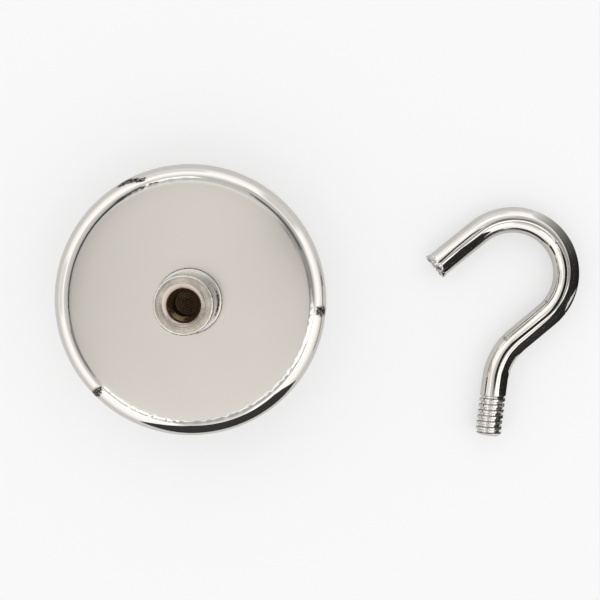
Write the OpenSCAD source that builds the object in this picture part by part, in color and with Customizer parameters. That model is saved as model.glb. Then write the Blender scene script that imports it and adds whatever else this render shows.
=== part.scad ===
// Pot magnet for magnet fishing, with a screw-in hook lying loose beside it.
// The origin is the centre of the magnet face. The magnet face looks down, the threaded
// bush stands up along +Z, and the hook lies flat on the same surface, at z = 0.

/* [Pot] */
// Outside diameter of the steel cup
pot_d = 60; // [52:1:70]
// Height of the steel cup, without the bush
pot_h = 15; // [13:0.5:18]
// Radius of the rounded edge round the cup's back
edge_r = 3; // [2:0.25:4]
// Thickness of the cup's side wall
wall_t = 4; // [3:0.25:5]
// Chamfer round the cup's open rim
rim_chamfer = 0.4; // [0.2:0.1:0.8]

/* [Magnet] */
// Thickness of the magnet disc
magnet_t = 8; // [6:0.5:9]
// Chamfer on the magnet's edges
magnet_chamfer = 0.5; // [0.3:0.1:0.8]
// Width of the resin-filled gap between the magnet and the cup
gap_w = 1.5; // [1:0.1:2.5]
// Thickness of the glue film behind the magnet
glue_t = 0.2; // [0.1:0.05:0.3]
// How far the resin lies below the rim
resin_recess = 0.3; // [0.1:0.05:0.3]

/* [Bush] */
// Outside diameter of the bush
bush_d = 12.7; // [11:0.1:15]
// Height of the bush above the cup's back
bush_h = 15; // [13:0.5:18]
// Diameter of the wider foot round the bush's base
foot_d = 14.2; // [13:0.1:15]
// Height of the foot above the cup's back
foot_h = 1.2; // [0.8:0.1:2]
// Chamfer round the top of the foot
foot_chamfer = 0.4; // [0.2:0.1:0.6]
// Chamfer round the top of the bush
bush_chamfer = 0.4; // [0.2:0.1:0.6]
// Diameter of the spigot that passes through the cup's base
spigot_d = 9; // [7:0.5:10]
// Diameter of the countersink at the mouth of the hole
sink_d = 8.7; // [8:0.1:9.5]
// Diameter of the plain counterbore below the countersink
counterbore_d = 6.9; // [6.5:0.1:7.5]
// Depth of the counterbore, measured from the top of the bush
counterbore_l = 2.5; // [1.5:0.25:3]
// Depth of the thread's end, measured from the top of the bush
thread_depth = 10; // [8:0.5:11]

/* [Hook] */
// Diameter of the hook's wire, and so of the thread that is cut on it
wire_d = 5.8; // [5.6:0.05:5.9]
// Length of the thread
hook_thread_l = 9.6; // [8:0.2:12]
// Length of plain straight wire between the thread and the neck bend
shank_l = 3; // [2:0.25:6]
// Centre-line radius of the neck bend
neck_r = 14.5; // [12:0.5:16]
// Angle of the neck bend
neck_turn = 43; // [35:1:50]
// Length of the straight between the neck bend and the round bend
slope_l = 8.6; // [6:0.2:12]
// Centre-line radius of the round bend that holds the rope
bend_r = 12.25; // [11:0.25:14]
// Angle of the round bend
bend_turn = 179; // [170:1:190]
// Length of the straight arm that ends in the tip
arm_l = 12.6; // [8:0.2:14]
// Chamfer on the sawn tip
tip_chamfer = 0.3; // [0.1:0.1:0.5]

/* [Layout] */
// Distance from the bush's axis to the hook's threaded end, to the right
hook_x = 67.2; // [64:0.1:80]
// Distance from the bush's axis to the hook's threaded end, towards the front
hook_y = 31.2; // [25:0.1:40]
// Direction in which the shank points, from +X
hook_heading = 83; // [75:1:90]

/* [Hidden] */

round_fn = 128;
wire_fn = 64;
eps = 1;

// Pot
pot_r = pot_d / 2;
cavity_r = pot_r - wall_t;
cavity_h = magnet_t + glue_t;
magnet_r = cavity_r - gap_w;

// Bush. The tapped hole is drawn plain, at the thread's outside diameter.
bush_r = bush_d / 2;
bush_top = pot_h + bush_h;
tapped_r = 3;
pilot_r = 2.5;
pilot_runout = 0.8;
drill_half_angle = 59;
thread_end_z = bush_top - thread_depth;
pilot_end_z = thread_end_z - pilot_runout;
drill_point_h = pilot_r / tan(drill_half_angle);
sink_l = (sink_d - counterbore_d) / 2;

// Hook. The collars between its lengths of wire stand proud by a hair, and rest on the surface.
wire_r = wire_d / 2;
thread_lead_in = 0.6;
collar_w = 0.2;
collar_lip = 0.02;
collar_gap = 0.04;

// A disc with a chamfer round its lower edge, and one round its upper edge if asked for
module chamfered_disc(r, h, low_chamfer, high_chamfer) {
    rotate_extrude($fn = round_fn)
        polygon([
            [0, 0],
            [r - low_chamfer, 0],
            [r, low_chamfer],
            [r, h - high_chamfer],
            [r - high_chamfer, h],
            [0, h],
        ]);
}

// Half of the cup's outline: a rounded back edge and a chamfered rim
module cup_outline() {
    translate([pot_r - edge_r, pot_h - edge_r])
        circle(r = edge_r, $fn = round_fn);
    square([pot_r - edge_r, pot_h]);
    polygon([
        [0, 0],
        [pot_r - rim_chamfer, 0],
        [pot_r, rim_chamfer],
        [pot_r, pot_h - edge_r],
        [0, pot_h - edge_r],
    ]);
}

module pot_cup() {
    color("gainsboro")
        difference() {
            rotate_extrude($fn = round_fn)
                cup_outline();
            translate([0, 0, -eps])
                cylinder(r = cavity_r, h = cavity_h + eps, $fn = round_fn);
            cylinder(d = spigot_d, h = pot_h + eps, $fn = round_fn);
        }
}

// Countersink, counterbore, tapped length, pilot drilling and drill point, from the top down
module bush_hole() {
    translate([0, 0, bush_top - sink_l])
        cylinder(d1 = counterbore_d, d2 = sink_d, h = sink_l, $fn = round_fn);
    translate([0, 0, bush_top])
        cylinder(d = sink_d, h = eps, $fn = round_fn);
    translate([0, 0, bush_top - counterbore_l])
        cylinder(d = counterbore_d, h = counterbore_l, $fn = round_fn);
    translate([0, 0, thread_end_z])
        cylinder(r = tapped_r, h = thread_depth, $fn = round_fn);
    translate([0, 0, pilot_end_z])
        cylinder(r = pilot_r, h = thread_depth, $fn = round_fn);
    translate([0, 0, pilot_end_z - drill_point_h])
        cylinder(r1 = 0, r2 = pilot_r, h = drill_point_h, $fn = round_fn);
}

module threaded_bush() {
    color("silver")
        difference() {
            union() {
                translate([0, 0, pot_h])
                    chamfered_disc(bush_r, bush_h, 0, bush_chamfer);
                translate([0, 0, pot_h])
                    chamfered_disc(foot_d / 2, foot_h, 0, foot_chamfer);
                translate([0, 0, cavity_h])
                    cylinder(d = spigot_d, h = pot_h - cavity_h + eps, $fn = round_fn);
            }
            bush_hole();
        }
}

module magnet_disc() {
    color("lightgray")
        chamfered_disc(magnet_r, magnet_t, magnet_chamfer, magnet_chamfer);
}

module glue_film() {
    color("tan")
        translate([0, 0, magnet_t])
            cylinder(r = magnet_r, h = glue_t, $fn = round_fn);
}

// Resin fills the gap round the magnet up to the cup's base, and stops just inside the rim
module resin_ring() {
    color("dimgray")
        difference() {
            translate([0, 0, resin_recess])
                cylinder(r = cavity_r, h = cavity_h - resin_recess, $fn = round_fn);
            chamfered_disc(magnet_r, magnet_t, magnet_chamfer, magnet_chamfer);
            translate([0, 0, magnet_t])
                cylinder(r = magnet_r, h = cavity_h, $fn = round_fn);
        }
}

// Two lengths of wire end just short of each other inside this thin collar, which makes them one solid
module collar() {
    rotate([0, 90, 0])
        cylinder(r = wire_r + collar_lip, h = collar_w, center = true, $fn = wire_fn);
}

// A straight length of wire along +X. What follows it starts at its end.
module straight(length) {
    collar();
    translate([collar_gap, 0, 0])
        rotate([0, 90, 0])
            cylinder(r = wire_r, h = length - 2 * collar_gap, $fn = wire_fn);
    translate([length, 0, 0])
        children();
}

// A bend that starts along +X and turns left, or right if turn is negative.
// What follows it starts at its end, in its new direction.
module bend(centre_r, turn) {
    side = sign(turn);
    sweep = abs(turn);
    gap_angle = collar_gap / centre_r * 180 / PI;
    first_angle = turn > 0 ? -90 : 90 - sweep;
    collar();
    translate([0, side * centre_r, 0])
        rotate([0, 0, first_angle + gap_angle])
            rotate_extrude(angle = sweep - 2 * gap_angle, $fn = 2 * round_fn)
                translate([centre_r, 0])
                    circle(r = wire_r, $fn = wire_fn);
    translate([centre_r * sin(sweep), side * centre_r * (1 - cos(sweep)), 0])
        rotate([0, 0, turn])
            children();
}

// The thread is drawn plain, at its outside diameter, with a lead-in chamfer at its free end
module threaded_end() {
    rotate([0, 90, 0])
        cylinder(r1 = wire_r - thread_lead_in, r2 = wire_r, h = thread_lead_in, $fn = wire_fn);
    translate([thread_lead_in, 0, 0])
        rotate([0, 90, 0])
            cylinder(r = wire_r, h = hook_thread_l - thread_lead_in, $fn = wire_fn);
    translate([hook_thread_l, 0, 0])
        children();
}

module sawn_tip() {
    collar();
    rotate([0, 90, 0])
        cylinder(r1 = wire_r, r2 = wire_r - tip_chamfer, h = tip_chamfer, $fn = wire_fn);
}

module hook() {
    color("gainsboro")
        translate([hook_x, -hook_y, wire_r + collar_lip])
            rotate([0, 0, hook_heading])
                threaded_end()
                    straight(shank_l)
                        bend(neck_r, -neck_turn)
                            straight(slope_l)
                                bend(bend_r, bend_turn)
                                    straight(arm_l - tip_chamfer)
                                        sawn_tip();
}

pot_cup();
threaded_bush();
magnet_disc();
glue_film();
resin_ring();
hook();
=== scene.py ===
import math
import random
from collections import namedtuple

import bmesh
import bpy
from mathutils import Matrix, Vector, noise


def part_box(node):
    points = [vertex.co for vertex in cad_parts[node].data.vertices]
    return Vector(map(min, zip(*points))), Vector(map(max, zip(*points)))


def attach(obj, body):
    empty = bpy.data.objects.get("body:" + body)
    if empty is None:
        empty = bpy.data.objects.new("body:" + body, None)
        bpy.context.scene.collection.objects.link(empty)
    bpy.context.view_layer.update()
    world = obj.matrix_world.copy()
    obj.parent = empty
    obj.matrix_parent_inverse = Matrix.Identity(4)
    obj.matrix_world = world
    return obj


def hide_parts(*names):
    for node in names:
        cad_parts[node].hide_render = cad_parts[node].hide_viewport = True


# A pot magnet for magnet fishing, with its screw-in hook lying loose beside it.
# Metres, in the CAD model's own frame: the magnet face's centre is the origin, and the bush points up.

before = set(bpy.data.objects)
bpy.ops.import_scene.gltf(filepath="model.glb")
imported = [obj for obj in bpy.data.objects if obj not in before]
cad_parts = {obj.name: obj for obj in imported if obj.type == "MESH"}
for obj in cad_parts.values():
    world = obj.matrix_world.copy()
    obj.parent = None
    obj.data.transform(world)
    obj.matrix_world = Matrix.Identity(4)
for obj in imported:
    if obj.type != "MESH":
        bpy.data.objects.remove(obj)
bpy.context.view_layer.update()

MM = 0.001


def heights_and_radius(node):
    """Lowest z, highest z and radius of a round CAD node that stands on the Z axis."""
    low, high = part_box(node)
    return low.z, high.z, (high.x - low.x) / 2


# ------------------------ sizes

POT_LOW, POT_TOP, POT_R = heights_and_radius("pot_cup")
MAGNET_LOW, MAGNET_TOP, MAGNET_R = heights_and_radius("magnet_disc")
RESIN_LOW, CAVITY_TOP, CAVITY_R = heights_and_radius("resin_ring")
SPIGOT_LOW, BUSH_TOP, FOOT_R = heights_and_radius("threaded_bush")
HOOK_LOW, HOOK_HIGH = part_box("hook")

# The cup's back rolls off from one radius, and its shoulder is a soft arc that ends at a tilt
ROLL_START = 21 * MM
ROLL_DROP = 0.03 * MM
SOFT_START = 26.2 * MM
SOFT_R = 8 * MM
SOFT_TILT = math.radians(7)
SHOULDER_WAVE = 0.15 * MM
# Where the shoulder is uneven: the middle azimuth and half the width, in degrees. Then how uneven it
# is elsewhere, and over how many degrees it changes.
WORN_SHOULDER = ((292, 70), (103, 22))
WORN_LEAST = 0.12
WORN_FADE = 12
# Painted dark reflections on the edge, in degrees: azimuth, tilt of the edge there, and half the
# mark's size in each
PAINTED_EDGE_REFLECTIONS = (
    (-4.4, 47, 2.5, 33),
    (118.6, 56, 4.2, 15),
    (114.8, 44, 2.6, 11),
    (111.6, 31, 2.6, 9),
    (224.5, 40, 2.1, 36),
)
RIM_CHAMFER = 0.4 * MM
# A ring on the flat back, between the foot and the roll-off
FLAT_RING_R = 12 * MM
# Dirt and painted shade on the cup's back round the bush's foot: distance out from the foot, and how dark
FOOT_DIRT_AND_SHADE = ((-0.1 * MM, 1.0), (0.05 * MM, 0.9), (0.2 * MM, 0.15), (0.5 * MM, 0.0))

SPIGOT_R = 4.5 * MM
SPIGOT_EDGE_R = 0.3 * MM
BUSH_R = 6.35 * MM
BUSH_EDGE_R = 0.45 * MM
FOOT_H = 1.2 * MM
FOOT_EDGE_R = 0.25 * MM
BASE_CHAMFER = 0.25 * MM
# The countersink isn't quite centred on the hole, and the end face falls a little towards its edge
SINK_R = 4.2 * MM
SINK_PLACE = (-0.22 * MM, 0.34 * MM)
SINK_FLOOR_R = 3.55 * MM
SINK_DEPTH = 0.45 * MM
FACE_FALL = 0.17 * MM
COUNTERBORE_R = 3.45 * MM
COUNTERBORE_L = 2.5 * MM
THREAD_DEPTH = 10 * MM
PILOT_R = 2.5 * MM
PILOT_RUNOUT = 0.8 * MM
DRILL_HALF_ANGLE = math.radians(59)
DRILL_RINGS = 5
DRILL_RIDGE = 0.03 * MM
DRILL_TIP_R = 0.04 * MM
# Painted shade on the bush: middle azimuth and half the width, in degrees, and for the edge also how
# strong. The step in the hole carries painted shade but for one side.
CORNER_SHADE = (-2, 44)
EDGE_SHADE = ((0, 60, 1.0), (265, 70, 0.5))
EDGE_SHADE_LEAST = 0.45
STEP_LIT_SIDE = (245, 70)

MAGNET_EDGE_R = 0.5 * MM
RESIN_HOLLOW = 0.25 * MM
RESIN_WAVE = 0.02 * MM

PITCH = 1.3 * MM
NUT_MAJOR_R = 3.0 * MM
NUT_MINOR_R = 2.6 * MM
# Shares of the pitch that are flat at the crest and at the root, and where a thread fades out
NUT_FLATS = (0.2, 0.1)
NUT_RUN_OUT = 0.6 * PITCH
HOOK_FLATS = (0.42, 0.3)
HOOK_RUN_OUT = 0.7 * PITCH

# Heights in the bush that follow from the sizes above
FACE_EDGE_Z = BUSH_TOP - FACE_FALL
SINK_FLOOR_Z = BUSH_TOP - SINK_DEPTH
STEP_Z = BUSH_TOP - COUNTERBORE_L
STEP_LOW_Z = STEP_Z - (COUNTERBORE_R - NUT_MINOR_R)
THREAD_END_Z = BUSH_TOP - THREAD_DEPTH

# The hook's route repeats the CAD model's: where its threaded end is, its heading there, and then each
# length of wire with the angle that it turns through to the left
HOOK_START = (67.2 * MM, -31.2 * MM)
HOOK_HEADING = math.radians(83)
HOOK_THREAD_L = 9.6 * MM
NECK_TURN = math.radians(-43)
BEND_TURN = math.radians(179)
HOOK_ROUTE = (
    (HOOK_THREAD_L, 0.0),
    (3 * MM, 0.0),
    (14.5 * MM * abs(NECK_TURN), NECK_TURN),
    (8.6 * MM, 0.0),
    (12.25 * MM * BEND_TURN, BEND_TURN),
    (12.6 * MM, 0.0),
)
WIRE_R = 2.9 * MM
WIRE_SEGMENTS = 96
WIRE_STEP = 0.25 * MM
THREAD_STEP = PITCH / 18
HOOK_THREAD_DEPTH = 0.42 * MM
LEAD_IN = 0.5 * MM
# Nicks from the bending tool: distance from the threaded end, angle round the wire from its left
# side, and size. A nick's half lengths along and round the wire are shares of its size.
TOOL_MARKS = (
    (21.7 * MM, math.radians(30), 0.7 * MM),
    (34.3 * MM, math.radians(30), 0.6 * MM),
    (50.5 * MM, math.radians(80), 0.3 * MM),
)
NICK_ALONG = 0.6
NICK_ROUND = 1.8
NICK_DEPTH = 0.1 * MM
# The sawn tip: how far back its burr starts, how high and how slanting the burr is, and how rough the
# cut is, with the size of its grain
BURR_L = 1.4 * MM
BURR_H = 0.5 * MM
SAW_SLANT = 0.35 * MM
SAW_ROUGHNESS = 0.55 * MM
SAW_GRAIN = 0.9 * MM
# How large the rings that close an end of the wire are, as shares of the wire
END_RINGS = (0.92, 0.78, 0.6, 0.42, 0.24, 0.08)

LATHE_SEGMENTS = 192
# The ring nearest the axis, where a cap closes a turned piece
CAP_R = 0.2 * MM
SHARP_ANGLE = math.radians(40)
# The least height of the wire's skin and of the cards over the table
TABLE_GAP = 0.02 * MM


# ------------------------ camera

CAMERA_PLACE = (24.2 * MM, 16.4 * MM, 300 * MM)
CAMERA_LEAN = math.radians(3.24)
CAMERA_LENS = 78.4
SENSOR_WIDTH = 36


def make_camera():
    """High above the edge of the pot, looking almost straight down."""
    data = bpy.data.cameras.new("camera")
    data.sensor_width = SENSOR_WIDTH
    data.lens = CAMERA_LENS
    data.clip_start = 10 * MM
    camera = bpy.data.objects.new("camera", data)
    camera.location = CAMERA_PLACE
    camera.rotation_euler = (-CAMERA_LEAN, 0, 0)
    bpy.context.scene.collection.objects.link(camera)
    bpy.context.scene.camera = camera


# ------------------------ node helpers

def join(tree, source, target):
    """Links one node's output to another's input."""
    tree.links.new(source, target)


def feed(tree, socket, value):
    """Sets a socket to a number, or links it to another socket."""
    if isinstance(value, bpy.types.NodeSocket):
        join(tree, value, socket)
    else:
        socket.default_value = value


def maths(tree, operation, *values):
    """One Math node, fed with numbers or sockets."""
    node = tree.nodes.new("ShaderNodeMath")
    node.operation = operation
    for socket, value in zip(node.inputs, values):
        feed(tree, socket, value)
    return node.outputs[0]


def remap(tree, value, from_low, from_high, to_low=0.0, to_high=1.0):
    """A Map Range node with smooth ends."""
    node = tree.nodes.new("ShaderNodeMapRange")
    node.interpolation_type = "SMOOTHSTEP"
    feed(tree, node.inputs["Value"], value)
    node.inputs["From Min"].default_value = from_low
    node.inputs["From Max"].default_value = from_high
    node.inputs["To Min"].default_value = to_low
    node.inputs["To Max"].default_value = to_high
    return node.outputs["Result"]


def split(tree, vector):
    """The x, y and z of a vector."""
    node = tree.nodes.new("ShaderNodeSeparateXYZ")
    join(tree, vector, node.inputs[0])
    return node.outputs


def both(tree, first, second):
    """1 where both masks are 1."""
    return maths(tree, "MULTIPLY", first, second)


def blend_to(tree, below, above, mask):
    """The number below where mask is 0, and the number above where it is 1."""
    return maths(tree, "MULTIPLY_ADD", maths(tree, "SUBTRACT", above, below), mask, below)


# ------------------------ light

# Radiance of the studio's walls against elevation in degrees, from the horizon to straight up
WALLS = ((0, 1.0), (10, 1.2), (30, 1.5), (45, 1.5), (56, 1.1), (62, 0.9), (70, 0.75), (80, 0.8), (90, 0.9))
WALLS_BRIGHTEST = 2.0

# Soft boxes and gaps. Azimuth is from +X towards +Y; the rest are its half width, elevation, its half
# height, radiance and the width of the soft border.
PANELS = (
    (47, 24, 60, 6, 0.72, 6),
    (172, 24, 59, 7, 0.9, 6),
    (46, 12, 24, 22, 0.95, 8),
    (105, 18, 17, 12, 1.05, 6),
    (178, 11, 24, 15, 1.1, 6),
    (240, 16, 57, 6, 1.9, 5),
    (318, 30, 55, 7, 1.8, 5),
    (113, 13, 71, 4, 1.7, 3),
    (235, 14, 74, 4.5, 1.8, 3),
    (284, 36, 78, 2.4, 1.5, 2),
    (282, 33, 71, 3.5, 0.6, 3),
    (322, 16, 76, 5, 1.8, 3),
    (338, 10, 71, 5, 1.8, 3),
    (18, 30, 77, 10, 0.42, 5),
    (336, 22, 85.5, 3.5, 0.3, 2),
    (46, 26, 78, 3.6, 0.16, 3),
    (137, 9, 73, 3, 0.1, 3),
    (173, 29, 76, 3, 0.06, 3),
    (208, 9, 72.5, 4, 0.3, 3),
)
# The big soft box overhead: where its middle is and its half size, as slopes from the vertical
OVERHEAD_MIDDLE = (-0.088, -0.062)
OVERHEAD_HALF = (0.122, 0.16)
OVERHEAD_BORDER = 0.25
# Its radiance straight up, and how much that rises with the slope towards +Y
OVERHEAD_RADIANCE = 1.16
OVERHEAD_FADE = 1.1


def inside_panel(tree, azimuth, elevation, middle_azimuth, half_width, middle, half_height, border):
    """1 inside a panel that is a rectangle in azimuth and elevation, 0 outside it."""
    above = maths(tree, "ABSOLUTE", maths(tree, "SUBTRACT", elevation, middle))
    turned = maths(tree, "WRAP", maths(tree, "SUBTRACT", azimuth, middle_azimuth), 180, -180)
    across = maths(tree, "ABSOLUTE", turned)
    sides = remap(tree, across, half_width + border / 2, half_width - border / 2)
    ends = remap(tree, above, half_height + border / 2, half_height - border / 2)
    return both(tree, sides, ends)


def inside_ellipse(tree, across, along, middle, half, border):
    """1 inside an ellipse, 0 outside it."""
    squares = [
        maths(tree, "POWER", maths(tree, "DIVIDE", maths(tree, "SUBTRACT", value, centre), size), 2)
        for value, centre, size in zip((across, along), middle, half)]
    return remap(tree, maths(tree, "ADD", *squares), 1 + border, 1 - border)


def wall_radiance(tree, elevation):
    """How bright the walls are at an elevation in degrees."""
    walls = tree.nodes.new("ShaderNodeFloatCurve")
    join(tree, maths(tree, "DIVIDE", elevation, 90), walls.inputs["Value"])
    curve = walls.mapping.curves[0]
    points = [(angle / 90, radiance / WALLS_BRIGHTEST) for angle, radiance in WALLS]
    curve.points[0].location = points[0]
    curve.points[1].location = points[-1]
    for point in points[1:-1]:
        curve.points.new(*point)
    walls.mapping.update()
    return maths(tree, "MULTIPLY", walls.outputs[0], WALLS_BRIGHTEST)


def make_world():
    """A white studio round the part, with the soft boxes and gaps that its bright metal mirrors."""
    world = bpy.data.worlds.new("studio")
    world.use_nodes = True
    bpy.context.scene.world = world
    tree = world.node_tree
    place = tree.nodes.new("ShaderNodeTexCoord")
    x, y, z = split(tree, place.outputs["Generated"])
    elevation = maths(tree, "DEGREES", maths(tree, "ARCSINE", z))
    azimuth = maths(tree, "DEGREES", maths(tree, "ARCTAN2", y, x))

    radiance = wall_radiance(tree, elevation)
    for *place_and_size, panel_radiance, border in PANELS:
        panel = inside_panel(tree, azimuth, elevation, *place_and_size, border)
        radiance = blend_to(tree, radiance, panel_radiance, panel)
    slopes = maths(tree, "DIVIDE", x, z), maths(tree, "DIVIDE", y, z)
    overhead = inside_ellipse(tree, *slopes, OVERHEAD_MIDDLE, OVERHEAD_HALF, OVERHEAD_BORDER)
    overhead = both(tree, overhead, maths(tree, "GREATER_THAN", z, 0.5))
    box = maths(tree, "MULTIPLY_ADD", slopes[1], OVERHEAD_FADE, OVERHEAD_RADIANCE)
    radiance = blend_to(tree, radiance, box, overhead)
    join(tree, radiance, tree.nodes["Background"].inputs["Strength"])
    tree.nodes["Background"].inputs["Color"].default_value = (1, 1, 1, 1)


# ------------------------ stage

FLOOR_HALF = 3.0
# Just under the part, so that no two faces lie in one plane
FLOOR_Z = -0.03 * MM
FLOORS_APART = 0.01 * MM


def stage_material(name, albedo, glow=0.0):
    """Matt paper or cloth."""
    material, _, shader = new_material(name)
    shader.inputs["Base Color"].default_value = (albedo, albedo, albedo, 1)
    shader.inputs["Roughness"].default_value = 1.0
    shader.inputs["Specular IOR Level"].default_value = 0.0
    shader.inputs["Emission Color"].default_value = (1, 1, 1, 1)
    shader.inputs["Emission Strength"].default_value = glow
    return material


def stage_mesh(name, corners, faces, material, seen_by_camera):
    """A stage piece seen either by the camera or by the metal's reflections."""
    mesh = bpy.data.meshes.new(name)
    mesh.from_pydata(corners, [], faces)
    mesh.materials.append(material)
    piece = bpy.data.objects.new(name, mesh)
    bpy.context.scene.collection.objects.link(piece)
    piece.visible_camera = seen_by_camera
    piece.visible_glossy = not seen_by_camera
    if not seen_by_camera:
        piece.visible_diffuse = False
        piece.visible_transmission = False
        piece.visible_shadow = False
    return mesh


def make_floor():
    """A pale lit table, and the duller one that the metal mirrors."""
    half = FLOOR_HALF
    faces = [(0, 1, 2, 3)]
    lit = stage_material("floor_lit", albedo=0.36, glow=0.5)
    dull = stage_material("floor_dull", albedo=0.7)
    for name, z, material, seen in (
            ("floor", FLOOR_Z, lit, True),
            ("floor_mirrored", FLOOR_Z + FLOORS_APART, dull, False)):
        corners = [(-half, -half, z), (half, -half, z), (half, half, z), (-half, half, z)]
        stage_mesh(name, corners, faces, material, seen)


# The camera's dark front: its radius, and how far it is above the camera's own point
LENS_R = 9 * MM
LENS_ABOVE = 4 * MM
LENS_CORNERS = 48

# The black card on the pot's -Y side: its distance from the pot's axis, then rows of azimuth in
# degrees, and the heights of its lower and upper edge in mm
POT_CARD_R = 50 * MM
POT_CARD = (
    (246, 15, 16), (249, 13.5, 22), (253, 12, 29), (260, 8.5, 38), (267, 6.2, 46), (282, 5.7, 41),
    (297, 4, 38), (308, 3.6, 40), (314, 5, 29), (318, 7.5, 18), (321, 9, 11),
)
# Cards along the hook. Each row: distance along the wire in mm, the two places across the wire where the
# card's edges show, as shares of the wire's radius from its middle (positive is right), and its glow
HOOK_CARDS = {
    "right": (
        (0.5, 0.46, 0.99, 0.03), (9, 0.46, 0.99, 0.03), (10, 0.42, 0.99, 0.015), (14.5, 0.4, 0.99, 0.015),
        (15.5, 0.42, 0.86, 0.02), (20, 0.38, 0.86, 0.02), (21.5, 0.4, 0.99, 0.03), (27, 0.38, 0.99, 0.035),
        (32, 0.34, 0.99, 0.03), (34.8, 0.24, 0.99, 0.02), (35.4, 0.24, 0.82, 0.02), (36.5, 0.26, 0.7, 0.02),
        (38, 0.27, 0.72, 0.02), (40, 0.3, 0.92, 0.015), (40.6, 0.3, 0.99, 0.015), (43, 0.32, 0.99, 0.015),
        (46, 0.34, 0.99, 0.03), (49, 0.38, 0.99, 0.11), (52, 0.42, 0.99, 0.26), (54.5, 0.46, 0.99, 0.5),
        (56.5, 0.52, 0.99, 0.75), (58, 0.6, 0.99, 0.95),
    ),
    "right_foot": (
        (35, 0.86, 0.99, 0.02), (36.5, 0.84, 0.99, 0.02), (38.5, 0.88, 0.99, 0.02),
        (40.6, 0.94, 0.99, 0.02),
    ),
    "left": (
        (51, -0.66, -0.62, 0.2), (53, -0.76, -0.54, 0.04), (58, -0.76, -0.5, 0.03), (61, -0.73, -0.56, 0.1),
        (64, -0.73, -0.66, 0.25), (66.5, -0.74, -0.5, 0.05), (70, -0.76, -0.26, 0.02),
        (76, -0.78, -0.16, 0.02), (80, -0.82, -0.22, 0.02), (84, -0.86, -0.34, 0.02),
    ),
    "middle": (
        (8, 0.02, 0.04, 0.1), (13, -0.02, 0.13, 0.03), (19, -0.08, 0.09, 0.01), (25, -0.06, 0.12, 0.01),
        (31, -0.04, 0.15, 0.03), (38, -0.1, 0.09, 0.01), (46, -0.1, 0.08, 0.01), (51, -0.02, 0.02, 0.2),
    ),
    "tip": ((68, 0.04, 0.06, 0.2), (72, 0.1, 0.24, 0.1), (77, 0.1, 0.22, 0.06), (84, -0.04, 0.12, 0.03)),
}
# Light flecks in the cards beside the thread
FLECKS = (0, 0, 0, 0, 0.12, 0.4)
# A card is a wall where it shows further out than this share of the wire's radius, and a roof nearer in
CARD_BEND = 0.6
# How far a wall stands from the wire's middle, and a roof lies above the wire's top
CARD_DISTANCE = 3.3 * MM
CARD_OVER = 3.1 * MM
# The white card behind the left wall: how far behind, and how brightly it glows
CARD_GAP = 0.2 * MM
CARD_BACK_GLOW = 1.1
# A card narrower than this is left out
CARD_LEAST = 0.01 * MM


def card_material(name):
    """Black card that glows as much as its corners say."""
    material = stage_material(name, albedo=0.012)
    tree = material.node_tree
    glow = tree.nodes.new("ShaderNodeAttribute")
    glow.attribute_name = "glow"
    join(tree, glow.outputs["Fac"], tree.nodes["Principled BSDF"].inputs["Emission Strength"])
    return material


def ribbon(name, rows, material, glows=()):
    """A strip of card through rows of two places, left out where it has no width."""
    corners = [tuple(place) for row in rows for place in row]
    wide = [math.dist(*row) > CARD_LEAST for row in rows]
    kept = [i for i in range(len(rows) - 1) if wide[i] or wide[i + 1]]
    faces = [(2 * i, 2 * i + 1, 2 * i + 3, 2 * i + 2) for i in kept]
    if not faces:
        return
    mesh = stage_mesh(name, corners, faces, material, seen_by_camera=False)
    if glows:
        layer = mesh.attributes.new("glow", "FLOAT", "POINT")
        for i, glow in enumerate(glows):
            layer.data[2 * i].value = layer.data[2 * i + 1].value = glow


def make_pot_card():
    """The black card that the pot's round edge mirrors on its -Y side."""
    rows = []
    for azimuth, low, high in between(POT_CARD, 1.0):
        out = direction(math.radians(azimuth)) * POT_CARD_R
        rows.append([(out.x, out.y, z * MM) for z in (low, high)])
    ribbon("pot_card", rows, stage_material("card_black", albedo=0.02, glow=0.035))


def make_lens():
    """The camera's own dark front, which the metal mirrors."""
    middle = Vector(CAMERA_PLACE) + Vector((0, 0, LENS_ABOVE))
    turns = [2 * math.pi * i / LENS_CORNERS for i in range(LENS_CORNERS)]
    corners = [middle + direction(turn) * LENS_R for turn in turns]
    black = stage_material("lens_black", albedo=0.02)
    stage_mesh("lens", corners, [tuple(range(LENS_CORNERS))], black, seen_by_camera=False)


def between(table, step):
    """Rows of numbers filled in evenly between the rows of a table."""
    filled = []
    for first, second in zip(table, table[1:]):
        count = max(1, round((second[0] - first[0]) / step))
        for i in range(count):
            filled.append([a + (b - a) * i / count for a, b in zip(first, second)])
    return filled + [list(table[-1])]


def mirrored_ray(station, share):
    """Where the camera's ray leaves the wire at a share of its radius to the right: how far right of the
    wire's middle, how high, and how many radians right of straight up it then goes."""
    point, heading, _ = station
    right = Vector((math.sin(heading), -math.cos(heading), 0))
    to_camera = Vector(CAMERA_PLACE) - point
    view = math.atan2(to_camera.dot(right), to_camera.z)
    normal = math.asin(share) + view
    return WIRE_R * math.sin(normal), point.z + WIRE_R * math.cos(normal), 2 * normal - view


def wall_place(station, share, gap=0.0):
    """Where the mirrored ray meets an upright card beside the wire."""
    side = 1 if share > 0 else -1
    offset, z, tilt = mirrored_ray(station, side * max(abs(share), CARD_BEND))
    height = z + (CARD_DISTANCE - side * offset) / math.tan(side * tilt)
    return beside_wire(station, side * (CARD_DISTANCE + gap), max(TABLE_GAP, height))


def roof_place(station, share):
    """Where the mirrored ray meets a level card above the wire."""
    offset, z, tilt = mirrored_ray(station, max(-CARD_BEND, min(CARD_BEND, share)))
    height = station.point.z + WIRE_R + CARD_OVER
    return beside_wire(station, offset + (height - z) * math.tan(tilt), height)


def beside_wire(station, offset, height):
    """The place at a height, an offset to the right of the wire's middle."""
    point, heading, _ = station
    return (point.x + math.sin(heading) * offset, point.y - math.cos(heading) * offset, height)


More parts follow.
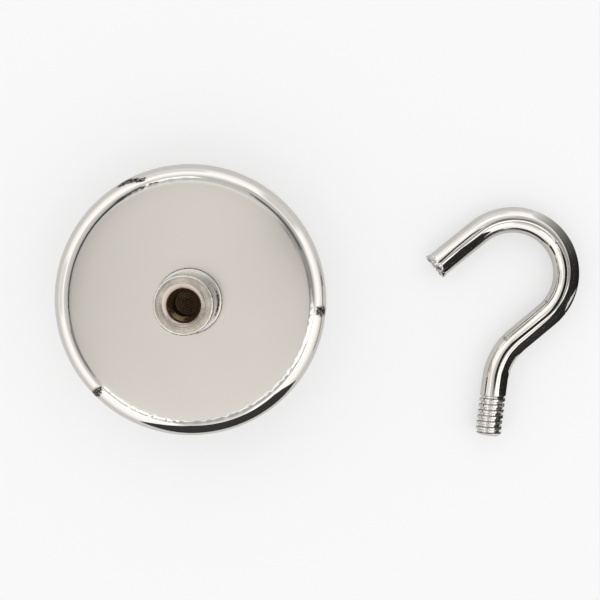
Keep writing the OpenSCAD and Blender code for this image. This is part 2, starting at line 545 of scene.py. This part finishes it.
def make_hook_cards():
    """Cards bent round the hook, for the dark bands along its wire."""
    stations = hook_stations()
    chance = random.Random(11)
    white = stage_material("card_white", albedo=0.0, glow=CARD_BACK_GLOW)
    black = card_material("card_glow")
    for name, table in HOOK_CARDS.items():
        rows = between(table, WIRE_STEP / MM)
        nearest = [min(stations, key=lambda s: abs(s.distance - row[0] * MM)) for row in rows]
        flecks_end = HOOK_THREAD_L / MM if name == "right" else 0.0
        glows = [row[3] + (row[0] < flecks_end) * chance.choice(FLECKS) for row in rows]
        ends = [(station, row[1:3]) for station, row in zip(nearest, rows)]
        if name not in ("middle", "tip"):
            wall = [[wall_place(station, share) for share in shares] for station, shares in ends]
            ribbon(f"{name}_wall", wall, black, glows)
        if name == "left":
            back = [[wall_place(station, share, CARD_GAP) for share in shares] for station, shares in ends]
            ribbon("left_back", back, white)
        roof = [[roof_place(station, share) for share in shares] for station, shares in ends]
        ribbon(f"{name}_roof", roof, black, glows)


# ------------------------ mesh helpers

def direction(angle):
    """The level direction at an angle from +X towards +Y."""
    return Vector((math.cos(angle), math.sin(angle), 0))


def degrees_apart(first, second):
    """How far the first azimuth is past the second, from -180 to 180."""
    return (first - second + 180) % 360 - 180


def close_end(shape, loop):
    """Closes an end of a mesh with a fan round a new point in its middle."""
    middle = shape.verts.new(sum((vertex.co for vertex in loop), Vector()) / len(loop))
    for i, vertex in enumerate(loop):
        shape.faces.new((vertex, loop[(i + 1) % len(loop)], middle))


def skin(name, rings, closed=False, cap_first=False, cap_last=False):
    """One smooth mesh through a row of rings with equally many points. A point is a place and how
    dark it is with dirt and painted shade."""
    shape = bmesh.new()
    dirt_and_shade = shape.verts.layers.float.new("dirt_and_shade")
    loops = []
    for ring in rings:
        loop = [shape.verts.new(place) for place, _ in ring]
        for vertex, (_, amount) in zip(loop, ring):
            vertex[dirt_and_shade] = amount
        loops.append(loop)
    pairs = list(zip(loops, loops[1:]))
    if closed:
        pairs.append((loops[-1], loops[0]))
    for first, second in pairs:
        count = len(first)
        for i in range(count):
            j = (i + 1) % count
            shape.faces.new((first[i], first[j], second[j], second[i]))
    if cap_first:
        close_end(shape, loops[0])
    if cap_last:
        close_end(shape, loops[-1])
    bmesh.ops.recalc_face_normals(shape, faces=shape.faces)
    for face in shape.faces:
        face.smooth = True
    mesh = bpy.data.meshes.new(name)
    shape.to_mesh(mesh)
    shape.free()
    mesh.set_sharp_from_angle(angle=SHARP_ANGLE)
    piece = bpy.data.objects.new(name, mesh)
    bpy.context.scene.collection.objects.link(piece)
    return piece


def arc(centre, radius, start, end, steps):
    """Points on an arc, from the start angle to the end angle in degrees."""
    angles = [math.radians(start + (end - start) * i / steps) for i in range(steps + 1)]
    return [(centre[0] + radius * math.cos(a), centre[1] + radius * math.sin(a)) for a in angles]


def lathe(name, outline, segments=LATHE_SEGMENTS, **how):
    """Turns an outline about the Z axis. A point is a radius, a z and perhaps how dark it is with dirt
    and painted shade, or a function of the angle that gives them."""
    rings = []
    for point in outline:
        ring = []
        for i in range(segments):
            angle = 2 * math.pi * i / segments
            radius, z, *dirt_and_shade = point(angle) if callable(point) else point
            place = Vector((radius * math.cos(angle), radius * math.sin(angle), z))
            ring.append((place, dirt_and_shade[0] if dirt_and_shade else 0.0))
        rings.append(ring)
    return skin(name, rings, **how)


def smooth_step(value):
    """0 up to 0, 1 from 1, and a smooth rise between them."""
    value = min(1.0, max(0.0, value))
    return value * value * (3 - 2 * value)


def wobble(seed, low, high, count=14):
    """An uneven closed wave round a circle, of about unit height, from waves of low to high cycles."""
    chance = random.Random(seed)
    waves = [(chance.randint(low, high), chance.uniform(0, 2 * math.pi)) for _ in range(count)]
    return lambda angle: sum(math.sin(n * angle + start) for n, start in waves) / math.sqrt(count)


def groove(distance, angle, crest_share, root_share):
    """How deep a right-hand thread is cut at a distance along its axis: 0 on the crest, 1 at the root."""
    phase = (distance / PITCH - angle / (2 * math.pi)) % 1.0
    flank = (1 - crest_share - root_share) / 2
    return 1 - smooth_step((abs(phase - 0.5) - root_share / 2) / flank)


# ------------------------ materials

NICKEL = (0.655, 0.63, 0.59, 1)
WARM_NICKEL = (0.65, 0.611, 0.557, 1)
# The dark of dirt, and also of the painted shade and painted dark reflections that the meshes mark
GRIME_AND_SHADE = (0.035, 0.03, 0.026, 1)
# The hole's dark: oily dirt, and the painted shade down the hole
OILY_GRIME_AND_SHADE = (0.034, 0.016, 0.006, 1)


def new_material(name):
    """A new material, its node tree and its shader."""
    material = bpy.data.materials.new(name)
    material.use_nodes = True
    tree = material.node_tree
    return material, tree, tree.nodes["Principled BSDF"]


def object_place(tree):
    """The place on the piece, in metres."""
    return tree.nodes.new("ShaderNodeTexCoord").outputs["Object"]


def noise_texture(tree, place, scale, detail, distortion=0.0):
    """Noise from 0 to 1, with about scale waves to a metre."""
    node = tree.nodes.new("ShaderNodeTexNoise")
    join(tree, place, node.inputs["Vector"])
    node.inputs["Scale"].default_value = scale
    node.inputs["Detail"].default_value = detail
    node.inputs["Distortion"].default_value = distortion
    return node.outputs["Fac"]


def ring_texture(tree, radius, scale, detail):
    """Noise that changes with the distance from the axis only, as a lathe tool's marks do."""
    node = tree.nodes.new("ShaderNodeTexNoise")
    node.noise_dimensions = "1D"
    join(tree, radius, node.inputs["W"])
    node.inputs["Scale"].default_value = scale
    node.inputs["Detail"].default_value = detail
    return node.outputs["Fac"]


def stretched(tree, place, scale):
    """A place scaled along each axis."""
    node = tree.nodes.new("ShaderNodeMapping")
    join(tree, place, node.inputs["Vector"])
    node.inputs["Scale"].default_value = scale
    return node.outputs["Vector"]


def shifted(tree, place, x, y):
    """A place moved sideways."""
    node = tree.nodes.new("ShaderNodeVectorMath")
    node.operation = "ADD"
    node.inputs[1].default_value = (x, y, 0.0)
    join(tree, place, node.inputs[0])
    return node.outputs[0]


def two_tone(tree, value, first, second, start, end):
    """A colour that runs from the first to the second as the value goes from start to end."""
    ramp = tree.nodes.new("ShaderNodeValToRGB")
    join(tree, value, ramp.inputs["Fac"])
    ramp.color_ramp.elements[0].position = start
    ramp.color_ramp.elements[0].color = first
    ramp.color_ramp.elements[1].position = end
    ramp.color_ramp.elements[1].color = second
    return ramp.outputs["Color"]


def mix_colour(tree, mask, below, above):
    """The colour below where the mask is 0, and the colour above where it is 1."""
    mix = tree.nodes.new("ShaderNodeMix")
    mix.data_type = "RGBA"
    join(tree, mask, mix.inputs["Factor"])
    feed(tree, mix.inputs["A"], below)
    feed(tree, mix.inputs["B"], above)
    return mix.outputs["Result"]


def raise_surface(tree, shader, height, distance):
    """Bump: a height from 0 to 1 stands for this distance."""
    bump = tree.nodes.new("ShaderNodeBump")
    join(tree, height, bump.inputs["Height"])
    bump.inputs["Distance"].default_value = distance
    bump.inputs["Strength"].default_value = 1.0
    join(tree, bump.outputs["Normal"], shader.inputs["Normal"])


def shade(colour, factor):
    """A darker or lighter shade of a colour."""
    return tuple(c * factor for c in colour[:3]) + (1,)


def dirt_and_shade_mask(tree, place):
    """Where the mesh carries dirt and painted shade, broken up by a fine noise."""
    dirt_and_shade = tree.nodes.new("ShaderNodeAttribute")
    dirt_and_shade.attribute_name = "dirt_and_shade"
    speckle = remap(tree, noise_texture(tree, place, 2600, 3), 0.35, 0.65, 0.45, 1.25)
    return maths(tree, "MINIMUM", maths(tree, "MULTIPLY", dirt_and_shade.outputs["Fac"], speckle), 1.0)


def radius_from_axis(tree, place):
    """How far a place is from the Z axis."""
    x, y, _ = split(tree, place)
    squares = maths(tree, "MULTIPLY", x, x), maths(tree, "MULTIPLY", y, y)
    return maths(tree, "SQRT", maths(tree, "ADD", *squares))


def pot_material():
    """Nickel plate: a satin back, and a polished rounded edge with fine handling marks."""
    material, tree, shader = new_material("pot_nickel")
    place = object_place(tree)
    shader.inputs["Metallic"].default_value = 1.0
    radius = radius_from_axis(tree, place)
    cloud = noise_texture(tree, place, 60, 3)
    satin_colour = two_tone(tree, cloud, shade(WARM_NICKEL, 0.985), shade(WARM_NICKEL, 1.015), 0.35, 0.65)
    on_back = remap(tree, radius, SOFT_START + 0.6 * MM, SOFT_START - 0.8 * MM)
    plate = mix_colour(tree, on_back, NICKEL, satin_colour)
    # Dirt and painted shade round the foot, and painted dark reflections on the edge
    dirt_and_shade = dirt_and_shade_mask(tree, place)
    join(tree, mix_colour(tree, dirt_and_shade, plate, GRIME_AND_SHADE), shader.inputs["Base Color"])
    fine = noise_texture(tree, place, 900, 4)
    polished = remap(tree, fine, 0.3, 0.7, 0.03, 0.07)
    satin = remap(tree, cloud, 0.3, 0.7, 0.2, 0.215)
    finish = blend_to(tree, polished, satin, on_back)
    join(tree, blend_to(tree, finish, 0.6, dirt_and_shade), shader.inputs["Roughness"])
    grain = both(tree, noise_texture(tree, place, 500, 3), maths(tree, "SUBTRACT", 1, on_back))
    raise_surface(tree, shader, grain, 0.0015 * MM)
    return material


def bush_masks(tree, place, radius, z):
    """Where the bush's hole, its end face and its countersink are."""
    from_sink = radius_from_axis(tree, shifted(tree, place, -SINK_PLACE[0], -SINK_PLACE[1]))
    in_hole = both(
        tree,
        remap(tree, radius, SINK_FLOOR_R + 0.05 * MM, SINK_FLOOR_R - 0.05 * MM),
        remap(tree, z, SINK_FLOOR_Z, SINK_FLOOR_Z - 0.15 * MM))
    between_edges = both(
        tree,
        remap(tree, from_sink, SINK_R - 0.02 * MM, SINK_R + 0.08 * MM),
        remap(tree, radius, BUSH_R - BUSH_EDGE_R + 0.1 * MM, BUSH_R - BUSH_EDGE_R))
    at_top = remap(tree, z, FACE_EDGE_Z - 0.12 * MM, FACE_EDGE_Z - 0.02 * MM)
    in_sink = both(
        tree,
        remap(tree, from_sink, SINK_R + 0.1 * MM, SINK_R - 0.02 * MM),
        remap(tree, z, SINK_FLOOR_Z - 0.2 * MM, SINK_FLOOR_Z))
    return in_hole, both(tree, at_top, between_edges), in_sink


def end_colour(tree, cloud, marks):
    """The end face: rings from the lathe tool, in darker and lighter patches."""
    turned = two_tone(tree, marks, (0.3, 0.265, 0.22, 1), (0.64, 0.58, 0.5, 1), 0.42, 0.58)
    patchy = two_tone(tree, cloud, (0.39, 0.35, 0.3, 1), (0.68, 0.62, 0.535, 1), 0.35, 0.65)
    return mix_colour(tree, marks, turned, patchy)


def hole_colour(tree, z, cloud):
    """The hole: brown unplated steel, kept dark on its walls as painted shade, with painted light on the
    step and the drilled bottom.
    """
    wall = two_tone(tree, cloud, (0.07, 0.04, 0.02, 1), (0.19, 0.12, 0.07, 1), 0.4, 0.6)
    # Painted light on the drilled bottom
    bottom = two_tone(tree, cloud, (0.4, 0.27, 0.15, 1), (0.66, 0.5, 0.34, 1), 0.3, 0.7)
    deep = remap(tree, z, THREAD_END_Z + 0.4 * MM, THREAD_END_Z - 0.4 * MM)
    on_step = both(
        tree,
        remap(tree, z, STEP_LOW_Z - 0.2 * MM, STEP_LOW_Z),
        remap(tree, z, STEP_Z + 0.2 * MM, STEP_Z))
    # Painted light on the step
    wall = mix_colour(tree, on_step, wall, (0.42, 0.31, 0.19, 1))
    return mix_colour(tree, deep, wall, bottom)


def bush_material():
    """Turned and plated steel: tool marks on the end face, and a brown unplated hole; painted shade and
    painted light in the hole and round the bush.
    """
    material, tree, shader = new_material("bush_nickel")
    place = object_place(tree)
    radius = radius_from_axis(tree, place)
    z = split(tree, place)[2]
    in_hole, on_end, in_sink = bush_masks(tree, place, radius, z)
    fine = noise_texture(tree, place, 1200, 4)
    cloud = noise_texture(tree, place, 420, 4)
    marks = ring_texture(tree, radius, 3600, 4)
    # Painted shade: the countersink darkens towards its floor
    depth = remap(tree, z, BUSH_TOP - 0.2 * MM, SINK_FLOOR_Z)
    sink = mix_colour(tree, depth, (0.47, 0.4, 0.355, 1), (0.36, 0.29, 0.25, 1))
    outside = mix_colour(tree, in_sink, NICKEL, sink)
    outside = mix_colour(tree, on_end, outside, end_colour(tree, cloud, marks))
    colour = mix_colour(tree, in_hole, outside, hole_colour(tree, z, cloud))
    grime_and_shade = mix_colour(tree, in_hole, GRIME_AND_SHADE, OILY_GRIME_AND_SHADE)
    dirt_and_shade = dirt_and_shade_mask(tree, place)
    join(tree, mix_colour(tree, dirt_and_shade, colour, grime_and_shade), shader.inputs["Base Color"])
    # Grime and painted shade aren't metal: as metal they would mirror the studio at a flat angle, however
    # dark
    shader.inputs["Specular IOR Level"].default_value = 0.1
    metal = blend_to(tree, 1.0, 0.8, in_hole)
    join(tree, blend_to(tree, metal, 0.05, dirt_and_shade), shader.inputs["Metallic"])
    polished = remap(tree, fine, 0.3, 0.7, 0.08, 0.16)
    satin = remap(tree, fine, 0.3, 0.7, 0.2, 0.3)
    finish = blend_to(tree, polished, satin, maths(tree, "MAXIMUM", on_end, in_sink))
    finish = blend_to(tree, finish, 0.5, in_hole)
    join(tree, blend_to(tree, finish, 0.9, dirt_and_shade), shader.inputs["Roughness"])
    raise_surface(tree, shader, marks, 0.012 * MM)
    return material


def hook_material():
    """Bright nickel plate on drawn wire, with a fine grain, painted shade in the thread and grime in the
    saw cut.
    """
    material, tree, shader = new_material("hook_nickel")
    place = object_place(tree)
    shader.inputs["Metallic"].default_value = 1.0
    cloud = noise_texture(tree, place, 160, 3)
    plate = two_tone(tree, cloud, shade(NICKEL, 0.97), shade(NICKEL, 1.03), 0.35, 0.65)
    dirt_and_shade = dirt_and_shade_mask(tree, place)
    join(tree, mix_colour(tree, dirt_and_shade, plate, GRIME_AND_SHADE), shader.inputs["Base Color"])
    fine = noise_texture(tree, place, 1300, 4)
    finish = remap(tree, fine, 0.3, 0.7, 0.03, 0.09)
    join(tree, blend_to(tree, finish, 0.55, dirt_and_shade), shader.inputs["Roughness"])
    raise_surface(tree, shader, noise_texture(tree, place, 1500, 3), 0.0035 * MM)
    return material


def magnet_material():
    """Nickel plate straight from the barrel: satin, with small scuffs."""
    material, tree, shader = new_material("magnet_nickel")
    place = object_place(tree)
    shader.inputs["Metallic"].default_value = 1.0
    cloud = noise_texture(tree, place, 90, 5, 0.6)
    join(tree, two_tone(tree, cloud, (0.5, 0.49, 0.46, 1), (0.6, 0.58, 0.54, 1), 0.3, 0.7),
         shader.inputs["Base Color"])
    scuffs = noise_texture(tree, stretched(tree, place, (1.0, 14.0, 1.0)), 500, 4, 0.3)
    join(tree, remap(tree, scuffs, 0.4, 0.75, 0.2, 0.42), shader.inputs["Roughness"])
    raise_surface(tree, shader, scuffs, 0.006 * MM)
    return material


def resin_material():
    """Black casting resin, glossy, with a slightly uneven skin."""
    material, tree, shader = new_material("resin")
    place = object_place(tree)
    cloud = noise_texture(tree, place, 260, 4)
    join(tree, two_tone(tree, cloud, (0.012, 0.012, 0.014, 1), (0.03, 0.03, 0.034, 1), 0.3, 0.7),
         shader.inputs["Base Color"])
    join(tree, remap(tree, cloud, 0.3, 0.7, 0.22, 0.4), shader.inputs["Roughness"])
    raise_surface(tree, shader, cloud, 0.03 * MM)
    return material


def glue_material():
    """Cured glue, amber."""
    material, tree, shader = new_material("glue")
    place = object_place(tree)
    cloud = noise_texture(tree, place, 300, 3)
    join(tree, two_tone(tree, cloud, (0.36, 0.28, 0.16, 1), (0.5, 0.42, 0.28, 1), 0.3, 0.7),
         shader.inputs["Base Color"])
    join(tree, remap(tree, cloud, 0.3, 0.7, 0.35, 0.55), shader.inputs["Roughness"])
    return material


def finish_piece(piece, material, node, body):
    """Gives a detailed piece its material and its place in the model."""
    piece.data.materials.append(material)
    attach(piece, body)
    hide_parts(node)


# ------------------------ pieces of the pot

def pot_back():
    """The cup's outside, from the edge of its flat back to the foot of its wall: a back that rolls off
    very slightly, a soft shoulder, then a tight round edge."""
    roll_l = SOFT_START - ROLL_START
    steps = 10
    shares = [i / steps for i in range(steps)]
    points = [(ROLL_START + roll_l * share, POT_TOP - ROLL_DROP * share ** 3) for share in shares]
    first_tilt = math.atan(3 * ROLL_DROP / roll_l)
    soft_z = POT_TOP - ROLL_DROP - SOFT_R * math.cos(first_tilt)
    soft_centre = (SOFT_START - SOFT_R * math.sin(first_tilt), soft_z)
    soft_end = 90 - math.degrees(SOFT_TILT)
    uneven = wobble(3, 40, 110)
    shoulder = arc(soft_centre, SOFT_R, 90 - math.degrees(first_tilt), soft_end, 8)
    for i, (radius, z) in enumerate(shoulder[:-1]):
        height = SHOULDER_WAVE * math.sin(math.pi * i / (len(shoulder) - 1))
        points.append(shoulder_place(radius, z, height, uneven))
    radius, z = shoulder[-1]
    tight_r = (POT_R - radius) / (1 - math.sin(SOFT_TILT))
    tight_centre = (POT_R - tight_r, z - tight_r * math.cos(SOFT_TILT))
    for radius, z in arc(tight_centre, tight_r, soft_end, 0, 40):
        tilt = math.degrees(math.atan2(radius - tight_centre[0], z - tight_centre[1]))
        points.append(edge_place(radius, z, tilt))
    return points


def shoulder_place(radius, z, height, uneven):
    """A place on the soft shoulder, which waves by up to a height where it is worn."""
    return lambda angle: (radius + height * uneven(angle) * worn(angle), z)


def edge_place(radius, z, tilt):
    """A place on the tight round edge, with its painted dark reflections."""
    return lambda angle: (radius, z, painted_edge_reflection(math.degrees(angle), tilt))


def worn(angle):
    """How uneven the shoulder is at an angle round the cup, from nearly smooth to 1."""
    share = WORN_LEAST
    for middle, half in WORN_SHOULDER:
        turned = abs(degrees_apart(math.degrees(angle), middle))
        share = max(share, smooth_step((half - turned) / WORN_FADE))
    return share


def painted_edge_reflection(azimuth, tilt):
    """How dark the painted reflection is at a place on the cup's edge."""
    mark = 0.0
    for mark_azimuth, mark_tilt, half_turn, half_tilt in PAINTED_EDGE_REFLECTIONS:
        turned = degrees_apart(azimuth, mark_azimuth)
        away = math.hypot(turned / half_turn, (tilt - mark_tilt) / half_tilt)
        uneven = 0.25 * noise.noise(Vector((azimuth * 0.9, tilt * 0.12, 0)))
        mark = max(mark, smooth_step(2.6 * (1.05 - away + uneven)))
    return 1.4 * mark


def make_pot_shell():
    """The cup: its back and edge, a chamfered rim, and the cavity for the magnet."""
    outline = [(SPIGOT_R, POT_TOP)]
    outline += [(FOOT_R + out, POT_TOP, dirt_and_shade) for out, dirt_and_shade in FOOT_DIRT_AND_SHADE]
    outline += [(FLAT_RING_R, POT_TOP)]
    outline += pot_back()
    outline += [
        (POT_R, POT_LOW + RIM_CHAMFER),
        (POT_R - RIM_CHAMFER, POT_LOW),
        (CAVITY_R + RIM_CHAMFER / 2, POT_LOW),
        (CAVITY_R, POT_LOW + RIM_CHAMFER / 2),
        (CAVITY_R, CAVITY_TOP),
        (SPIGOT_R, CAVITY_TOP),
    ]
    piece = lathe("pot_shell", outline, segments=2 * LATHE_SEGMENTS, closed=True)
    finish_piece(piece, pot_material(), "pot_cup", "pot")


def tapped_hole(start_z, end_z):
    """The thread cut in the bush, as rows of an outline from its mouth down."""
    rows_a_turn = 22
    rows = int(rows_a_turn * (start_z - end_z) / PITCH)

    def row(z):
        fade = smooth_step((z - end_z) / NUT_RUN_OUT)

        def point(angle):
            depth = groove(z - end_z, angle, *NUT_FLATS) * fade
            return NUT_MINOR_R + (NUT_MAJOR_R - NUT_MINOR_R) * depth, z
        return point

    return [row(start_z + (end_z - start_z) * i / rows) for i in range(rows + 1)]


def drill_point(start_z):
    """The cone that the drill left, with the rings of its last turns."""
    height = PILOT_R / math.tan(DRILL_HALF_ANGLE)
    points = []
    steps = 4 * DRILL_RINGS
    for i in range(1, steps):
        share = i / steps
        ridge = (0, 1, 0, -1)[i % 4]
        z = start_z - height * share + DRILL_RIDGE * ridge
        points.append((PILOT_R * (1 - share), z, 0.35 * (1 - ridge)))
    return points + [(DRILL_TIP_R, start_z - height)]


def bump_at(angle, middle, half):
    """1 at a middle azimuth, falling smoothly to 0 half a width away, in degrees."""
    return smooth_step(1 - abs(degrees_apart(math.degrees(angle), middle)) / half)


def corner_shade(radius, z):
    """A place in the corner between the foot and the wall, with painted shade on one side."""
    return lambda angle: (radius, z, 1.6 * bump_at(angle, *CORNER_SHADE))


def edge_shade(radius, z, step):
    """A place some steps from the wall on the rounded edge of the bush's end, its painted shade darkest
    round the third.
    """
    width = smooth_step(1.3 - abs(step - 3) / 4)

    def point(angle):
        painted_shade = sum(strong * bump_at(angle, middle, half) for middle, half, strong in EDGE_SHADE)
        return radius, z, width * min(1, EDGE_SHADE_LEAST + painted_shade)
    return point


def sink_edge(radius, z):
    """A place on the countersink's outer edge, round its own centre."""
    x, y = SINK_PLACE
    return lambda angle: (radius + x * math.cos(angle) + y * math.sin(angle), z)


def step_shade(radius, z):
    """A place on the step in the hole, in painted shade but for one side."""
    return lambda angle: (radius, z, 2.2 - 2 * bump_at(angle, *STEP_LIT_SIDE))


def bush_foot():
    """The bush's outline from the middle of its lower end: the spigot, the foot, and the corner over it."""
    foot_top = POT_TOP + FOOT_H
    spigot_edge = (SPIGOT_R - SPIGOT_EDGE_R, SPIGOT_LOW + SPIGOT_EDGE_R)
    outline = [(CAP_R, SPIGOT_LOW)]
    outline += arc(spigot_edge, SPIGOT_EDGE_R, -90, 0, 4)
    outline += [
        (SPIGOT_R, POT_TOP),
        # Painted shade in the gap under the chamfered foot
        (FOOT_R - BASE_CHAMFER, POT_TOP, 1.0),
        (FOOT_R, POT_TOP + BASE_CHAMFER, 0.3),
    ]
    outline += arc((FOOT_R - FOOT_EDGE_R, foot_top - FOOT_EDGE_R), FOOT_EDGE_R, 0, 90, 6)
    outline += [
        (BUSH_R + 0.4 * MM, foot_top),
        corner_shade(BUSH_R + 0.2 * MM, foot_top),
        corner_shade(BUSH_R + 0.06 * MM, foot_top + 0.02 * MM),
        corner_shade(BUSH_R, foot_top + 0.12 * MM),
        corner_shade(BUSH_R, foot_top + 0.6 * MM),
        (BUSH_R, foot_top + 1.4 * MM),
    ]
    return outline


def bush_end():
    """The bush's outline over its rounded edge and its end face, down to the countersink's floor."""
    edge = arc((BUSH_R - BUSH_EDGE_R, FACE_EDGE_Z - BUSH_EDGE_R), BUSH_EDGE_R, 0, 90, 10)
    outline = [edge_shade(radius, z, i) for i, (radius, z) in enumerate(edge)]
    outline += [
        sink_edge(SINK_R + 0.05 * MM, BUSH_TOP),
        sink_edge(SINK_R, BUSH_TOP - 0.02 * MM),
        (SINK_FLOOR_R + 0.05 * MM, SINK_FLOOR_Z),
        (SINK_FLOOR_R, SINK_FLOOR_Z - 0.06 * MM),
    ]
    return outline


def bush_hole():
    """The bush's outline down its hole: the counterbore, the step, the thread and the drilled bottom."""
    pilot_end = THREAD_END_Z - PILOT_RUNOUT
    outline = [
        # Painted shade, deeper towards the step
        (COUNTERBORE_R + 0.02 * MM, BUSH_TOP - 0.95 * MM, 0.3),
        (COUNTERBORE_R, STEP_Z + 0.3 * MM, 0.7),
        step_shade(COUNTERBORE_R, STEP_Z),
        step_shade(NUT_MINOR_R, STEP_LOW_Z),
    ]
    outline += tapped_hole(STEP_LOW_Z - 0.1 * MM, THREAD_END_Z)
    outline += [(PILOT_R, pilot_end)]
    return outline + drill_point(pilot_end)


def make_bush():
    """The bush, turned in one piece."""
    outline = bush_foot() + bush_end() + bush_hole()
    piece = lathe("bush_turned", outline, cap_first=True, cap_last=True)
    finish_piece(piece, bush_material(), "threaded_bush", "pot")


def make_magnet():
    """The magnet disc, with rounded edges."""
    outline = [(CAP_R, MAGNET_LOW)]
    outline += arc((MAGNET_R - MAGNET_EDGE_R, MAGNET_LOW + MAGNET_EDGE_R), MAGNET_EDGE_R, -90, 0, 6)
    outline += arc((MAGNET_R - MAGNET_EDGE_R, MAGNET_TOP - MAGNET_EDGE_R), MAGNET_EDGE_R, 0, 90, 6)
    outline += [(CAP_R, MAGNET_TOP)]
    piece = lathe("magnet_plate", outline, cap_first=True, cap_last=True)
    finish_piece(piece, magnet_material(), "magnet_disc", "pot")


def make_resin():
    """The resin round the magnet, with a hollow skin between the two walls that it wets."""
    uneven = wobble(7, 3, 11, 4)
    steps = 8

    def surface(share):
        def point(angle):
            height = math.sin(math.pi * share) * (RESIN_HOLLOW + RESIN_WAVE * uneven(angle))
            return MAGNET_R + (CAVITY_R - MAGNET_R) * share, RESIN_LOW + height
        return point

    outline = [surface(i / steps) for i in range(steps + 1)]
    outline += [(CAVITY_R, CAVITY_TOP), (MAGNET_R, CAVITY_TOP)]
    piece = lathe("resin_fill", outline, closed=True)
    finish_piece(piece, resin_material(), "resin_ring", "pot")


def dress_glue():
    """The glue film keeps its CAD shape."""
    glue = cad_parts["glue_film"]
    glue.data.materials.clear()
    glue.data.materials.append(glue_material())


# ------------------------ hook

# A place along the hook's wire: its centre, its heading and its distance from the threaded end
Station = namedtuple("Station", "point heading distance")


def hook_stations():
    """Places along the hook's wire, closer together in its thread."""
    point = Vector((*HOOK_START, (HOOK_LOW.z + HOOK_HIGH.z) / 2))
    heading = HOOK_HEADING
    travelled = 0.0
    stations = []
    for length, turn in HOOK_ROUTE:
        bend_r = length / turn if turn else 0.0
        count = round(length / (WIRE_STEP if stations else THREAD_STEP))
        for i in range(count):
            share = i / count
            turned = heading + turn * share
            place = along_route(point, heading, turned, bend_r, length * share)
            stations.append(Station(place, turned, travelled + length * share))
        point = along_route(point, heading, heading + turn, bend_r, length)
        heading += turn
        travelled += length
    stations.append(Station(point, heading, travelled))
    return stations


def along_route(start, start_heading, heading, bend_r, length):
    """The point a length along a straight line, or along an arc that turns to a heading."""
    if not bend_r:
        return start + direction(heading) * length
    across = math.sin(heading) - math.sin(start_heading)
    up = math.cos(start_heading) - math.cos(heading)
    return start + Vector((across, up, 0)) * bend_r


def thread_cut(distance, angle):
    """How deep the hook's thread is at a place, from 0 to 1, with a run-out before the plain wire."""
    if distance > HOOK_THREAD_L:
        return 0.0
    run_out = smooth_step((HOOK_THREAD_L - distance) / HOOK_RUN_OUT)
    return groove(distance, angle, *HOOK_FLATS) * run_out


def tool_mark(distance, angle):
    """How strongly a place on the wire is nicked by the bending tool, from 0 to 1."""
    nicked = 0.0
    for mark_distance, mark_angle, size in TOOL_MARKS:
        turn = (angle - mark_angle + math.pi) % (2 * math.pi) - math.pi
        along = (distance - mark_distance) / (NICK_ALONG * size)
        round_wire = turn * WIRE_R / (NICK_ROUND * size)
        nicked = max(nicked, 1 - smooth_step(math.hypot(along, round_wire)))
    return nicked


def wire_ring(station, total):
    """One ring of the wire's skin, with its thread, its nicks and the burr at its sawn end."""
    point, heading, distance = station
    ahead = direction(heading)
    left = Vector((-ahead.y, ahead.x, 0))
    up = Vector((0, 0, 1))
    near_tip = smooth_step(1 - (total - distance) / BURR_L)
    ring = []
    for i in range(WIRE_SEGMENTS):
        angle = 2 * math.pi * i / WIRE_SEGMENTS
        out = left * math.cos(angle) + up * math.sin(angle)
        cut = thread_cut(distance, angle)
        nick = tool_mark(distance, angle)
        radius = WIRE_R - HOOK_THREAD_DEPTH * cut - NICK_DEPTH * nick
        radius = min(radius, WIRE_R - LEAD_IN + distance)
        rough = noise.noise(out * 4.6 + ahead * (distance / MM) * 1.3)
        burr = near_tip * rough
        place = point + out * (radius + BURR_H * burr) + ahead * (SAW_SLANT * burr)
        place.z = max(place.z, TABLE_GAP)
        # Painted shade lies on the thread's flanks that face away from the wire's end; dirt lies in the
        # nicks and on the burr
        flank = thread_cut(distance + 0.12 * PITCH, angle) - cut
        ring.append((place, max(0.9 * flank, nick, near_tip * smooth_step(3 * abs(rough) - 0.6))))
    return ring


def end_face(ring, heading, roughness):
    """Rings that close an end of the wire, ever smaller, with a rough face."""
    centre = sum((place for place, _ in ring), Vector()) / len(ring)
    ahead = direction(heading)
    face = []
    for share in END_RINGS:
        inner = []
        for place, _ in ring:
            flat = centre + (place - centre) * share
            bump = noise.noise(flat / SAW_GRAIN)
            dirt_and_shade = 0.9 * smooth_step(2.4 * abs(bump) - 0.3)
            inner.append((flat + ahead * (roughness * bump), dirt_and_shade))
        face.append(inner)
    return face


def make_hook():
    """The hook: one bent wire with a cut thread at one end and a sawn tip at the other."""
    stations = hook_stations()
    last = stations[-1]
    rings = [wire_ring(station, last.distance) for station in stations]
    tip = end_face(rings[-1], last.heading, SAW_ROUGHNESS)
    threaded_end = end_face(rings[0], HOOK_HEADING, 0.0)
    piece = skin("hook_wire", threaded_end[::-1] + rings + tip, cap_first=True, cap_last=True)
    finish_piece(piece, hook_material(), "hook", "hook")


# ------------------------ scene

make_camera()
make_world()
make_floor()
make_pot_card()
make_hook_cards()
make_lens()
make_pot_shell()
make_bush()
make_magnet()
make_resin()
dress_glue()
make_hook()
bpy.context.scene.view_settings.view_transform = "Standard"
